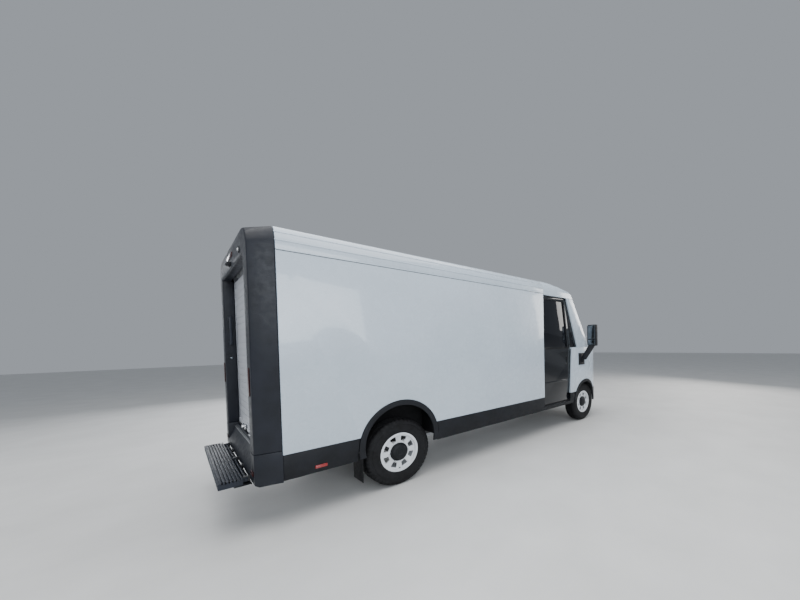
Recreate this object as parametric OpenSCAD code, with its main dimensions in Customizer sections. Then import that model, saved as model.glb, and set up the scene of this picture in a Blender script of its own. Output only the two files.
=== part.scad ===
// Walk-in electric mail delivery truck: white box body, black rear portal with a shutter and a
// folding step, pocket sliding cab doors and a short sloping front.
// Front faces -Y, the vehicle's right side is -X, the ground is z = 0 and the origin is the
// centre of the footprint.

/* [Overall] */
// Distance between the axles
wheel_base = 3890; // [3200:10:4800]
// Front axle to the nose
front_overhang = 880; // [820:10:1100]
// Rear axle to the rear face
rear_overhang = 1268; // [1000:10:1600]
// Body width over the side walls
body_w = 2070; // [1700:10:2500]
// Ground to the top of the roof
roof_h = 2650; // [2400:10:3200]
// Height of the side glass lower edge
belt_h = 1488; // [1400:2:1600]
// Height of the lower edge of the painted side walls
skirt_top = 646; // [620:2:700]
// Height of the lower edge of the black skirts
skirt_bottom = 410; // [380:2:460]

/* [Body shell] */
// Height of the roof cap that stands above the side walls
cap_h = 214; // [160:2:280]
// Straight part of the roof cap before it curves in
cap_straight = 29; // [10:1:60]
// How far the roof edge curves inwards
cap_inset = 103; // [60:1:160]
// Thickness of the side wall skin
skin_t = 22; // [14:1:30]
// Width of the pocket that the cab door slides into
pocket_w = 60; // [50:1:80]
// Thickness of the inner side lining
liner_t = 14; // [8:1:20]
// Thickness of moulded shells
shell_t = 30; // [20:1:40]
// Height of the cargo floor
floor_h = 676; // [650:2:720]
// Thickness of the cargo floor
floor_t = 36; // [24:1:50]
// Height of the cab floor
cab_floor_h = 540; // [520:2:600]

/* [Rear portal] */
// Length of the portal along the side
portal_l = 188; // [150:1:260]
// Width of each portal post seen from behind
post_w = 220; // [160:1:260]
// How far the portal's sides draw in towards the back
portal_taper = 50; // [0:1:80]
// Height of the portal opening's top
portal_top = 2407; // [2250:1:2500]
// Drop of the portal's top edge towards the back
portal_drop = 24; // [0:1:40]
// Distance from the rear face to the shutter
shutter_inset = 107; // [90:1:140]
// Thickness of the shutter curtain
curtain_t = 16; // [10:1:24]
// Radius of the shutter barrel
barrel_r = 62; // [40:1:80]

/* [Rear step] */
// Length of the step behind the rear face
step_out = 210; // [160:1:300]
// Height of the step's top
step_h = 463; // [420:1:520]
// Thickness of the step
step_t = 52; // [36:1:60]
// Number of ribs on the step
step_ribs = 7; // [4:1:10]
// Radius of the step's hinge pin
hinge_r = 10; // [6:1:14]

/* [Cab doors] */
// Rear edge of the door opening, ahead of the rear face
door_rear = 3824; // [3600:2:4000]
// Front edge of the door opening at the belt, ahead of the rear face
door_front = 4650; // [4560:2:4700]
// Lean of the door's front edge above the belt
door_lean = 150; // [80:2:200]
// Height of the door's lower edge
door_bottom = 483; // [450:1:520]
// Height of the door's upper edge
door_top = 2411; // [2200:1:2420]
// Thickness of the door
door_t = 34; // [26:1:40]

/* [Wheels] */
// Outer radius of the tyre
tyre_r = 372; // [340:1:400]
// Width of the tyre
tyre_w = 225; // [195:1:245]
// Distance from the body side to the tyre
tyre_inset = 65; // [40:1:90]
// Rim radius at the bead seat
rim_r = 205; // [190:1:215]
// Radius of the stub axles
stub_r = 30; // [20:1:36]
// Number of holes in the wheel disc
rim_holes = 8; // [5:1:10]
// Radius of the wheel arch cut in the rear panel
rear_arch_r = 457; // [430:1:480]
// Height of the centre of the rear arch
rear_arch_z = 519; // [480:1:540]
// Radius of the wheel arch cut in the fender
front_arch_r = 415; // [405:1:440]
// Height of the centre of the front arch
front_arch_z = 430; // [400:1:450]
// Width of the black arch trim
trim_w = 58; // [40:1:70]

/* [Cab] */
// Length of the rounded front in plan
nose_depth = 900; // [700:10:1000]
// Lean of the windshield from vertical, in degrees
glass_lean = 32.4; // [28:0.2:36]
// Forward bow of the windshield
glass_bow = 100; // [60:5:140]
// Thickness of the glass
glass_t = 8; // [5:1:10]
// Distance of the driver from the centre line
driver_x = 450; // [380:5:520]
// Steering wheel rim radius
wheel_rim_r = 195; // [170:5:220]

/* [Clearances] */
// Running clearance of shafts in their bores
run_gap = 0.06; // [0.02:0.01:0.1]
// Gap around panels that move
panel_gap = 6; // [4:1:10]

/* [Hidden] */
$fn = 64;

total_l = front_overhang + wheel_base + rear_overhang + step_out;
y_rear = total_l / 2 - step_out;
y_rear_axle = y_rear - rear_overhang;
y_front_axle = y_rear_axle - wheel_base;
y_nose = -total_l / 2;
half_w = body_w / 2;
gutter_z = roof_h - cap_h;
skin_in = half_w - skin_t;
liner_out = skin_in - pocket_w;
liner_in = liner_out - liner_t;
portal_y = y_rear - portal_l;
opening_x = half_w - post_w;
shutter_y = y_rear - shutter_inset;
cab_y = y_rear - door_rear;
door_front_y = y_rear - door_front;
door_x = skin_in - 13;
roof_t = 40;
overlap = 120;
bulkhead_y = cab_y + 240;
bulkhead_t = 30;
wheel_x = half_w - tyre_inset - tyre_w / 2;
rail_x = half_w - 565;
rail_w = 80;
rail_h = 130;
rail_top = cab_floor_h - 40;
housing_w = tyre_w + 70;
housing_top = rear_arch_z + rear_arch_r - trim_w + 20;
housing_l = 2 * (rear_arch_r - trim_w + 20);
kingpin_x = wheel_x - 68;
kingpin_r = 16;
axle_r = 52;
spring_x = rail_x + rail_w / 2;
eps = 0.01;

// ---------- helpers ----------

// Copy on both sides of the centre line
module both_sides() {
  children();
  mirror([1, 0, 0]) children();
}

// Block from two corners
module block(a, b) {
  translate(a) cube([b[0] - a[0], b[1] - a[1], b[2] - a[2]]);
}

// Outline in the Y-Z plane, extruded from x0 to x1
module side_plate(x0, x1, points) {
  translate([x0, 0, 0])
    rotate([90, 0, 90])
      linear_extrude(x1 - x0) polygon(points);
}

// Cylinder along X from x0 to x1
module x_rod(x0, x1, y, z, r) {
  translate([x0, y, z]) rotate([0, 90, 0]) cylinder(h = x1 - x0, r = r);
}

// Outline of half the roof section, from the gutter to the roof edge
function roof_arc(inset, dz) = [
  for (a = [0 : 10 : 90])
    [half_w - cap_inset - inset * 0.7 + (cap_inset - inset * 0.3) * cos(a),
     gutter_z + cap_straight + (cap_h - cap_straight - dz) * sin(a)]
];

// Whole roof section as an outline in X-Z, open downwards to z0
function roof_section(inset, dz, z0) = concat(
  [[half_w - inset, z0]],
  roof_arc(inset, dz),
  [for (i = [9 : -1 : 0]) [-roof_arc(inset, dz)[i][0], roof_arc(inset, dz)[i][1]]],
  [[-half_w + inset, z0]]
);

// Section in X-Z extruded from y0 to y1
module section_run(y0, y1, points) {
  translate([0, y1, 0]) rotate([90, 0, 0]) linear_extrude(y1 - y0) polygon(points);
}

// Rounded front of the body in plan: how far forward the body reaches at each width
function plan_points(hw, depth, y_front) = concat(
  [[hw, y_front + depth + 1400]],
  [for (a = [90 : -6 : -90])
    [hw * sin(a), y_front + depth * (1 - sqrt(1 - pow(abs(sin(a)), 3.5)))]],
  [[-hw, y_front + depth + 1400]]
);

// Side outline of the front above the wheels, as distances behind the nose and heights
function nose_outline(t) = [
  [y_nose + t, skirt_bottom - 80], [y_nose + t, 900],
  [y_nose + 38 + t, 1050 - t / 3], [y_nose + 118 + t * 0.8, 1200 - t * 0.6],
  [y_nose + 238 + t * 0.6, 1330 - t * 0.8], [y_nose + 398, 1430 - t],
  [y_nose + 558, belt_h - t], [shell_back, belt_h - t],
  [shell_back, skirt_bottom - 80]
];

// Solid block of the rounded front, reduced by t on every side
module nose_block(t) {
  intersection() {
    linear_extrude(roof_h) polygon(plan_points(half_w - t, nose_depth - t, y_nose + t));
    side_plate(-half_w, half_w, nose_outline(t));
  }
}

// Painted shell of the front, before it is split into hood, fenders and fascia
module nose_shell() {
  difference() {
    nose_block(0);
    nose_block(shell_t);
  }
}

hood_half = 760;
hood_low = 1010;
hood_l = 420;
fascia_top = 1004;
fender_rear_low = y_rear - 4606;
fender_rear_high = y_rear - 4677;
shell_back = fender_rear_low + 48;

// ---------- chassis ----------

module chassis_rails() {
  color("dimgray")
    both_sides()
      difference() {
        block([rail_x - rail_w / 2, y_nose + 420, rail_top - rail_h],
              [rail_x + rail_w / 2, y_rear - 150, rail_top]);
        block([rail_x - rail_w / 2 - 1, y_nose + 500, rail_top - rail_h + 12],
              [rail_x + rail_w / 2 - 10, y_rear - 250, rail_top - 12]);
        x_rod(rail_x - rail_w, rail_x + rail_w, y_rear_axle, tyre_r, axle_r + 18);
      }
}

module battery_pack() {
  color("silver")
    block([-rail_x + rail_w / 2 + 8, y_front_axle + 620, rail_top - rail_h - 60],
          [rail_x - rail_w / 2 - 8, y_rear_axle - 430, rail_top]);
}

module cargo_floor() {
  color("gray")
    difference() {
      block([-liner_in, bulkhead_y + bulkhead_t, floor_h - floor_t], [liner_in, shutter_y - 30, floor_h]);
      both_sides() block([opening_x - panel_gap, portal_y, 0], [half_w, y_rear, floor_h + 1]);
      both_sides()
        block([skin_in - housing_w - panel_gap, y_rear_axle - housing_l / 2 - panel_gap, 0],
              [half_w, y_rear_axle + housing_l / 2 + panel_gap, floor_h + 1]);
    }
}

// Cab floor with the seat box and the seat's runners
module cab_floor() {
  y0 = y_front_axle + 470;
  color("dimgray") {
    difference() {
      block([-skin_in + 60, y0, cab_floor_h - 40], [skin_in - 60, bulkhead_y - 10, cab_floor_h]);
      both_sides()
        block([liner_in - 10, y0 - 1, 0], [half_w, bulkhead_y, roof_h]);
    }
    block([-520, y_nose + 700, cab_floor_h - 40], [520, y0 + eps, cab_floor_h]);
    block([driver_x - 190, seat_y - 420, cab_floor_h - eps],
          [driver_x + 190, seat_y - 60, seat_z - 60]);
    for (dx = [-150, 120])
      block([driver_x + dx, seat_y - 430, seat_z - 60 - eps],
            [driver_x + dx + 30, seat_y - 40, seat_z - 44]);
  }
}

module wheel_housings() {
  color("dimgray")
    both_sides()
      difference() {
        block([skin_in - housing_w, y_rear_axle - housing_l / 2, rail_top],
              [skin_in, y_rear_axle + housing_l / 2, housing_top]);
        block([skin_in - housing_w + 8, y_rear_axle - housing_l / 2 + 8, rail_top - 1],
              [skin_in + 1, y_rear_axle + housing_l / 2 - 8, housing_top - 8]);
      }
}

// Axle beam with the drive unit in its middle, on a leaf spring at each side
module rear_axle() {
  z = tyre_r;
  color("dimgray") {
    x_rod(-wheel_x + 60, wheel_x - 60, y_rear_axle, z, axle_r);
    x_rod(-210, 210, y_rear_axle - 20, z, 150);
    both_sides() {
      x_rod(wheel_x - 60 - eps, wheel_x + disc_z + disc_t, y_rear_axle, z, stub_r);
      block([spring_x, y_rear_axle - 560, z + 40], [spring_x + 70, y_rear_axle + 560, z + 62]);
      for (dy = [-560, 520])
        block([spring_x, y_rear_axle + dy, z + 40], [spring_x + 70, y_rear_axle + dy + 40, rail_top - 10]);
    }
  }
}

module front_subframe() {
  beam_top = min(tyre_r - 5, rail_top - rail_h - 3);
  color("dimgray") {
    block([-420, y_front_axle - 130, beam_top - 55], [420, y_front_axle + 130, beam_top]);
    both_sides() {
      block([420 - eps, y_front_axle - 34, beam_top - 55], [kingpin_x - 30, y_front_axle + 34, beam_top]);
      block([rail_x - 40, y_front_axle - 60, beam_top - eps],
            [rail_x + 40, y_front_axle + 60, rail_top - rail_h]);
      difference() {
        translate([kingpin_x, y_front_axle, tyre_r - 100]) cylinder(h = 60, r = 40);
        translate([kingpin_x, y_front_axle, tyre_r - 101]) cylinder(h = 62, r = kingpin_r + run_gap);
      }
    }
  }
}

// ---------- box body ----------

// Outline of a side wall panel with its wheel arch, as Y-Z points
module wall_skin_shape() {
  difference() {
    side_plate(skin_in, half_w, [
      [portal_y, skirt_top], [portal_y, gutter_z], [cab_y, gutter_z], [cab_y, skirt_top]
    ]);
    x_rod(skin_in - 1, half_w + 1, y_rear_axle, rear_arch_z, rear_arch_r);
  }
}

module wall_skin_right() {
  color("white") mirror([1, 0, 0]) wall_skin_shape();
}

module wall_skin_left() {
  color("white") wall_skin_shape();
}

// Inner lining: its front end leaves a pocket for the cab door
module wall_liners() {
  color("lightgray")
    both_sides()
      difference() {
        block([liner_in, cab_y + panel_gap, floor_h], [liner_out, portal_y, gutter_z]);
        block([liner_in - 1, y_rear_axle - housing_l / 2 - panel_gap, 0],
              [liner_out + 1, y_rear_axle + housing_l / 2 + panel_gap, housing_top + panel_gap]);
      }
}

module roof_panel() {
  x = half_w - cap_inset;
  color("white")
    block([-x, cab_y, roof_h - roof_t], [x, portal_y, roof_h]);
}

// Curved edge between the roof panel and the side wall
module roof_rails() {
  outer = roof_arc(0, 0);
  inner = roof_arc(shell_t, roof_t);
  ring = concat(
    [[half_w, gutter_z + eps]],
    [for (i = [0 : 9]) outer[i]],
    [for (i = [9 : -1 : 0]) inner[i]],
    [[half_w - shell_t, gutter_z + eps]]
  );
  color("white")
    both_sides()
      difference() {
        section_run(cab_y, portal_y, ring);
        block([0, cab_y - 1, roof_h - cap_h], [half_w - cap_inset, portal_y + 1, roof_h + 1]);
      }
}

// Side outline of the roof over the cab: level at the back, falling to the windshield
function cap_outline(dz) = [
  [cab_y, gutter_z - 26 - dz], [cab_y, roof_h - 4 - dz],
  [cab_y - 176, roof_h - 14 - dz], [cab_y - 412, roof_h - 51 - dz],
  [cab_y - 733, roof_h - 116 - dz], [cab_y - 987, roof_h - 204 - dz],
  [cab_y - 1150, roof_h - 237 - dz], [cab_y - 1150, gutter_z - 26 - dz]
];

// Roof over the cab, cut off at the front along the windshield
module roof_cap_block(inset, dz) {
  intersection() {
    section_run(y_nose, cab_y, roof_section(inset, dz, gutter_z - 200));
    side_plate(-half_w, half_w, cap_outline(dz));
    cab_front(inset);
  }
}

module roof_front_cap() {
  color("white")
    difference() {
      roof_cap_block(0, 0);
      translate([0, eps, 0]) roof_cap_block(shell_t, roof_t);
    }
}

pass_x0 = -280;
pass_x1 = 340;
pass_top = 2280;

// Wall between the cab and the cargo bay, with its walk-through
module bulkhead() {
  color("lightgray")
    difference() {
      block([-liner_in + 2, bulkhead_y, floor_h - floor_t],
            [liner_in - 2, bulkhead_y + bulkhead_t, roof_h - roof_t - 2]);
      block([pass_x0, bulkhead_y - 1, floor_h], [pass_x1, bulkhead_y + bulkhead_t + 1, pass_top]);
      both_sides()
        block([half_w - cap_inset - 60, bulkhead_y - 1, gutter_z - 10],
              [half_w, bulkhead_y + bulkhead_t + 1, roof_h]);
    }
}

// Sliding door on the cargo side of the bulkhead, shown closed
module bulkhead_door() {
  color("gainsboro") {
    difference() {
      block([pass_x0 - 40, bulkhead_y + 34, floor_h + 8],
            [pass_x1 + 40, bulkhead_y + 60, pass_top + 40]);
      block([pass_x0 + 60, bulkhead_y + 33, 1450], [pass_x1 - 60, bulkhead_y + 44, 2050]);
    }
    block([pass_x0 + 4, bulkhead_y + 60 - eps, 1150], [pass_x0 + 24, bulkhead_y + 84, 1300]);
  }
}

// ---------- rear portal ----------

// Outline of the portal's top in X-Z: half-width w, corners rounded from (w, zc) in to z1
function portal_outline(w, inset, zc, z1) =
  let (corner = [for (a = [0 : 10 : 90]) [w - inset + inset * cos(a), zc + (z1 - zc) * sin(a)]])
  concat(
    [[w, portal_top]], corner,
    [for (i = [9 : -1 : 0]) [-corner[i][0], corner[i][1]]], [[-w, portal_top]]
  );

portal_z0 = floor_h + 8;
corner_w = 231;
corner_h = 180;

// Top of the portal: its sides, top and corners all draw in towards the rear face
module portal_crown() {
  front = portal_outline(half_w, cap_inset, gutter_z + cap_straight, roof_h);
  rear = portal_outline(half_w - portal_taper, corner_w, roof_h - portal_drop - corner_h, roof_h - portal_drop);
  n = len(front);
  polyhedron(
    points = concat([for (p = front) [p[0], portal_y, p[1]]], [for (p = rear) [p[0], y_rear, p[1]]]),
    faces = concat(
      [[for (i = [n - 1 : -1 : 0]) i], [for (i = [n : 2 * n - 1]) i]],
      [for (i = [0 : n - 1]) [i, (i + 1) % n, n + (i + 1) % n]],
      [for (i = [0 : n - 1]) [i, n + (i + 1) % n, n + i]]
    )
  );
}

// Plan of the portal: its sides draw in towards the rear face
module portal_plan(z0, z1) {
  translate([0, 0, z0])
    linear_extrude(z1 - z0)
      polygon([
        [-half_w, portal_y], [half_w, portal_y], [half_w - portal_taper, y_rear],
        [-half_w + portal_taper, y_rear]
      ]);
}

module rear_posts() {
  color("#20242c")
    both_sides()
      difference() {
        intersection() {
          block([opening_x, portal_y, portal_z0], [half_w, y_rear, portal_top]);
          portal_plan(portal_z0, portal_top);
        }
        block([opening_x - 1, portal_y - 1, portal_z0 - 1],
              [opening_x + 40, shutter_y + 2, portal_top + 1]);
        block([opening_x + 70, portal_y - 1, portal_z0 + 30],
              [half_w - portal_taper - 30, y_rear - 40, portal_top - 30]);
      }
}

// Top of the portal, hollow so that the shutter winds up inside it
module rear_header() {
  color("#20242c")
    difference() {
      portal_crown();
      block([-opening_x - 40, portal_y - 1, portal_top - 1],
            [opening_x + 40, shutter_y + 26, roof_h - portal_drop - 24]);
    }
}

// Lower rear crossmember: corners wrap to the sides and the sill slopes out from the shutter
module rear_bumper() {
  color("#20242c") {
    difference() {
      side_plate(-opening_x, opening_x, [
        [shutter_y - 30, floor_h - 6], [shutter_y + 26, floor_h - 6], [y_rear, step_h + 30],
        [y_rear, skirt_bottom + 20], [y_rear - 50, skirt_bottom], [shutter_y - 30, skirt_bottom]
      ]);
      side_plate(-opening_x + 24, opening_x - 24, [
        [shutter_y - 31, floor_h - 40], [shutter_y + 10, floor_h - 40], [y_rear - 30, step_h],
        [y_rear - 30, skirt_bottom - 1], [shutter_y - 31, skirt_bottom - 1]
      ]);
    }
    both_sides()
      difference() {
        intersection() {
          side_plate(opening_x - eps, half_w, [
            [portal_y, portal_z0 - eps], [y_rear, portal_z0 - eps],
            [y_rear, skirt_bottom + 20], [y_rear - 30, skirt_bottom], [portal_y, skirt_bottom]
          ]);
          portal_plan(0, portal_z0);
        }
        block([opening_x + 24, portal_y - 1, skirt_bottom - 1],
              [half_w - portal_taper - 30, y_rear - 30, portal_z0 - 30]);
      }
  }
}

module tail_lamps() {
  color("firebrick")
    both_sides() {
      block([half_w - 150, y_rear, 1180], [half_w - 90, y_rear + 8, 1420]);
      block([half_w - 180, y_rear, 500], [half_w - 80, y_rear + 8, 540]);
    }
}

track_x = opening_x + 6;
curtain_top = portal_top + 30;
barrel_z = portal_top + 95;
barrel_y = shutter_y - 10 - barrel_r;

// Side channels for the curtain and end plates for the barrel
module shutter_tracks() {
  color("gray")
    both_sides() {
      difference() {
        block([track_x, shutter_y - curtain_t - 8, floor_h + 10],
              [track_x + 34, shutter_y + 1, portal_top + 10]);
        block([track_x - 1, shutter_y - curtain_t - 2, floor_h + 9],
              [track_x + 20, shutter_y - 4, portal_top + 11]);
      }
      difference() {
        block([track_x + 22, barrel_y - 46, portal_top + 10 - eps],
              [track_x + 34, shutter_y + 1, barrel_z + 40]);
        x_rod(track_x + 10, track_x + 40, barrel_y, barrel_z, 14 + run_gap);
      }
    }
}

// Wound length of the shutter on its shaft
module shutter_barrel() {
  color("lightgray") {
    x_rod(-track_x - 8, track_x + 8, barrel_y, barrel_z, barrel_r);
    x_rod(-track_x - 28, track_x + 28, barrel_y, barrel_z, 14);
  }
}

curtain_y0 = shutter_y - curtain_t - 1;
rail_z0 = floor_h + 10;
rail_z1 = floor_h + 78;

// Slatted curtain between its bottom rail and the barrel
module shutter_curtain() {
  color("gainsboro")
    block([-track_x - 14, curtain_y0 + 2, rail_z1], [track_x + 14, curtain_y0 + curtain_t - 5,
                                                     portal_top - 10]);
}

// Bottom rail of the shutter with its lifting handle
module shutter_rail() {
  color("silver") {
    block([-track_x - 14, curtain_y0 + 1, rail_z0], [track_x + 14, curtain_y0 + curtain_t - 4,
                                                     rail_z1 - eps]);
    block([-opening_x + 20, curtain_y0 + 3, rail_z0 + 8], [opening_x - 20, shutter_y + 8, rail_z1 - 8]);
    block([-70, shutter_y + 8 - eps, rail_z0 + 14], [70, shutter_y + 22, rail_z0 + 40]);
  }
}

// ---------- rear step ----------

hinge_y = y_rear + 30;
hinge_z = step_h - step_t / 2;
ear_w = 16;

module step_brackets() {
  color("#20242c")
    for (x = [-opening_x + 60, -14, opening_x - 92])
      difference() {
        union() {
          block([x, y_rear, hinge_z - 24], [x + 32, hinge_y, hinge_z + 24]);
          x_rod(x, x + 32, hinge_y, hinge_z, 24);
        }
        x_rod(x - 1, x + 33, hinge_y, hinge_z, hinge_r + run_gap);
      }
}

// Ribbed tread with its hinge pin and ears
module step_tread() {
  w = opening_x - 5;
  y0 = hinge_y + 24;
  y1 = y_rear + step_out;
  pitch = (y1 - y0) / step_ribs;
  color("#2a2f38") {
    difference() {
      block([-w, y0, step_h - step_t], [w, y1, step_h - 14]);
      block([-w + 18, y0 + 16, step_h - step_t - 1], [w - 18, y1 - 16, step_h - 26]);
    }
    for (i = [0 : step_ribs - 1])
      block([-w, y0 + i * pitch, step_h - 14 - eps], [w, y0 + (i + 0.55) * pitch, step_h]);
    x_rod(-opening_x + 30, opening_x - 30, hinge_y, hinge_z, hinge_r);
    for (x = [-opening_x + 60, -14, opening_x - 92], dx = [-ear_w - 2, 34])
      block([x + dx, hinge_y - 14, hinge_z - 16], [x + dx + ear_w, y0 + eps, hinge_z + 16]);
  }
}

// ---------- skirts and arches ----------

// Skirt run with a crease and an inward taper below it, in X-Z
module skirt_run(y0, y1) {
  crease = skirt_bottom + 0.55 * (skirt_top - skirt_bottom);
  section_run(y0, y1, [
    [half_w - 3, skirt_top - eps], [half_w + 3, crease], [half_w - 34, skirt_bottom],
    [half_w - 44, skirt_bottom], [half_w - 24, crease], [half_w - 24, skirt_top - eps]
  ]);
}

// Skirts: behind the rear wheel, between the wheels, low under the door, and ahead of the door
module side_skirts() {
  arch = rear_arch_r + 4;
  sill_top = door_bottom - 8;
  y_low = fender_rear_low + 4;
  color("#20242c")
    both_sides()
      difference() {
        union() {
          skirt_run(y_rear_axle, portal_y);
          skirt_run(y_front_axle + front_arch_r, y_rear_axle - eps);
          block([liner_in, y_low, sill_top - 40], [half_w - 30, cab_y - 2, sill_top]);
        }
        x_rod(half_w - 90, half_w + 10, y_rear_axle, rear_arch_z, arch);
        block([half_w - 90, y_rear_axle - arch, 0], [half_w + 10, y_rear_axle + arch, rear_arch_z]);
        block([0, y_low, sill_top], [half_w + 10, cab_y - 2, roof_h]);
        block([0, y_nose, skirt_top - 24], [half_w + 10, y_low + 1, roof_h]);
        x_rod(half_w - 90, half_w + 10, y_front_axle, front_arch_z, front_arch_r + 1);
      }
}

// Arched trim ring cut off at height z0
module arch_ring(y, z, r, z0) {
  difference() {
    x_rod(skin_in, half_w + 4, y, z, r);
    x_rod(skin_in - 1, half_w + 5, y, z, r - trim_w);
    block([half_w - 40, y - r - 1, -1], [half_w + 10, y + r + 1, z0]);
  }
}

module arch_trims() {
  color("#181b21")
    both_sides() {
      difference() {
        union() {
          arch_ring(y_rear_axle, rear_arch_z, rear_arch_r - 0.5, skirt_bottom + 20);
          block([skin_in, y_rear_axle - rear_arch_r + 0.5, skirt_bottom + 20],
                [half_w + 4, y_rear_axle - rear_arch_r + trim_w, rear_arch_z]);
          block([skin_in, y_rear_axle + rear_arch_r - trim_w, skirt_bottom + 20],
                [half_w + 4, y_rear_axle + rear_arch_r - 0.5, rear_arch_z]);
        }
        block([half_w - 40, y_rear_axle - 380, 0], [half_w + 10, y_rear_axle + 380, rear_arch_z]);
      }
      intersection() {
        difference() {
          x_rod(hood_half, half_w + 4, y_front_axle, front_arch_z, front_arch_r - 1);
          x_rod(hood_half - 1, half_w + 5, y_front_axle, front_arch_z, front_arch_r - trim_w);
        }
        difference() {
          linear_extrude(roof_h) polygon(plan_points(half_w + 4, nose_depth, y_nose - 4));
          linear_extrude(roof_h) polygon(plan_points(skin_in, nose_depth - skin_t, y_nose + skin_t));
        }
        block([0, y_nose, skirt_bottom + 60], [half_w + 10, cab_y, belt_h]);
      }
    }
}

// ---------- cab ----------

// Front fender on the left side, with its wheel arch
module fender_shape() {
  difference() {
    intersection() {
      nose_shell();
      side_plate(hood_half + panel_gap, half_w + 1, [
        [fender_rear_low, skirt_top - 20], [fender_rear_high, belt_h], [y_nose, belt_h],
        [y_nose, skirt_top - 20]
      ]);
    }
    x_rod(hood_half, half_w + 1, y_front_axle, front_arch_z, front_arch_r);
  }
}

module fender_left() {
  color("white") fender_shape();
}

module fender_right() {
  color("white") mirror([1, 0, 0]) fender_shape();
}

module hood() {
  color("white")
    intersection() {
      nose_shell();
      block([-hood_half, y_nose - 1, hood_low], [hood_half, y_nose + hood_l, belt_h + 1]);
    }
}

module front_fascia() {
  color("#20242c")
    difference() {
      intersection() {
        nose_shell();
        union() {
          block([-hood_half, y_nose - 1, skirt_bottom - 60], [hood_half, y_nose + 440, fascia_top]);
          both_sides()
            block([hood_half - eps, y_nose - 1, skirt_bottom - 60],
                  [half_w, y_front_axle - 200, skirt_top - 20 - panel_gap]);
        }
      }
      both_sides()
        block([440, y_nose - 10, 850], [742, y_nose + 300, 950]);
      both_sides()
        x_rod(hood_half - 1, half_w + 1, y_front_axle, front_arch_z, front_arch_r + 4);
    }
}

module headlamps() {
  color("whitesmoke")
    both_sides()
      intersection() {
        difference() {
          nose_block(4);
          nose_block(shell_t);
        }
        block([442, y_nose - 10, 852], [740, y_nose + 300, 948]);
      }
}

glass_top_y = y_rear - 4811;
glass_top_z = roof_h - 194;

// Sloping frame of the windshield: local x is across, local y is out through the glass
module glass_frame() {
  translate([0, glass_top_y, glass_top_z]) rotate([-glass_lean, 0, 0]) children();
}

glass_half = half_w - 150;

// Bow of the windshield, from the right edge to the left
function glass_curve(dy) = [
  for (i = [-10 : 10]) [glass_half * i / 10, dy - glass_bow * (1 - pow(abs(i / 10), 2.4))]
];

// Outer corner of the left pillar, from the glass edge to the body side
pillar_corner = [[glass_half + 6, 2], [half_w - 70, 34], [half_w - 14, 96], [half_w - 2, 170]];

// Everything behind the windshield and the pillars, moved back by t
module cab_front(t) {
  right = [for (i = [3 : -1 : 0]) [-pillar_corner[i][0], pillar_corner[i][1] + t]];
  left = [for (p = pillar_corner) [p[0], p[1] + t]];
  glass_frame()
    translate([0, 0, -1500])
      linear_extrude(2400)
        polygon(concat(
          [[-half_w - 2, 2200], [-half_w - 2, 180 + t]], right, glass_curve(t - 3), left,
          [[half_w + 2, 180 + t], [half_w + 2, 2200]]
        ));
}

module windshield() {
  front = glass_curve(0);
  back = glass_curve(glass_t);
  color("#303840")
    intersection() {
      glass_frame()
        translate([0, 0, -1500])
          linear_extrude(1700)
            polygon(concat(front, [for (i = [20 : -1 : 0]) back[i]]));
      block([-half_w, y_nose, belt_h + 14], [half_w, cab_y, gutter_z - 28]);
    }
}

// How far forward the flat side of the pillar starts at height z
function pillar_front(z) =
  glass_top_y - (glass_top_z - z) * tan(glass_lean) + 165 / cos(glass_lean);

pillar_low_y = door_front_y - 217;
pillar_high_y = door_front_y + door_lean - 14;

// Corner that follows the windshield's edge, and the flat side behind it
module a_pillars() {
  inner = [[half_w - 30, 180], [half_w - 46, 110], [half_w - 90, 64], [glass_half + 6, 36]];
  z0 = belt_h + 2;
  z1 = gutter_z - 28;
  color("white")
    both_sides() {
      intersection() {
        glass_frame()
          translate([0, 0, -1500])
            linear_extrude(1700) polygon(concat(pillar_corner, inner));
        block([-half_w, y_nose, z0], [half_w, cab_y, z1]);
      }
      side_plate(half_w - 30, half_w - 2, [
        [pillar_front(z0), z0], [pillar_front(z1), z1], [pillar_high_y, z1], [pillar_low_y, z0]
      ]);
    }
}

// Black panel between the hood and the foot of the windshield
module cowl() {
  color("#20242c")
    intersection() {
      nose_shell();
      block([-hood_half, y_nose + hood_l + panel_gap, belt_h - shell_t - 110], [hood_half, y_nose + 760, belt_h + 1]);
    }
}

// Fixed glass between the cab door and the pillar
module quarter_windows() {
  lap = 14;
  color("#1c2026")
    both_sides()
      side_plate(half_w - 38, half_w - 30, [
        [door_front_y - 8, belt_h + 2], [door_front_y + door_lean - 8, gutter_z - 30],
        [pillar_high_y - lap, gutter_z - 30], [pillar_low_y - lap, belt_h + 2]
      ]);
}

column_y = y_front_axle + 560;
column_z = 1180;
column_tilt = 60;

// Sloping frame of the steering column: local z points at the driver
module column_frame() {
  translate([driver_x, column_y, column_z]) rotate([-column_tilt, 0, 0]) children();
}

module dashboard() {
  y0 = y_nose + 620;
  color("#30343a") {
    difference() {
      intersection() {
        side_plate(-half_w, half_w, [
          [y0, 980], [y0, 1420], [y0 + 120, 1440], [y0 + 400, 1330], [y0 + 430, 1180],
          [y0 + 330, 980]
        ]);
        nose_block(shell_t);
      }
      column_frame() translate([0, 0, -400]) cylinder(h = 420, r = 14 + run_gap);
    }
    column_frame()
      translate([0, 0, -400])
        difference() {
          cylinder(h = 360, r = 38);
          translate([0, 0, -1]) cylinder(h = 362, r = 14 + run_gap);
        }
  }
}

module steering_wheel() {
  color("#202226")
    column_frame() {
      rotate_extrude() translate([wheel_rim_r, 0]) circle(r = 15, $fn = 32);
      translate([0, 0, -30]) cylinder(h = 36, r = 52);
      for (a = [0, 120, 240])
        rotate([0, 0, a - 90]) translate([40, -16, -8]) cube([wheel_rim_r - 44, 32, 12]);
      translate([0, 0, -300]) cylinder(h = 280, r = 14);
    }
}

pedal_y = y_front_axle + 170;

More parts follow.
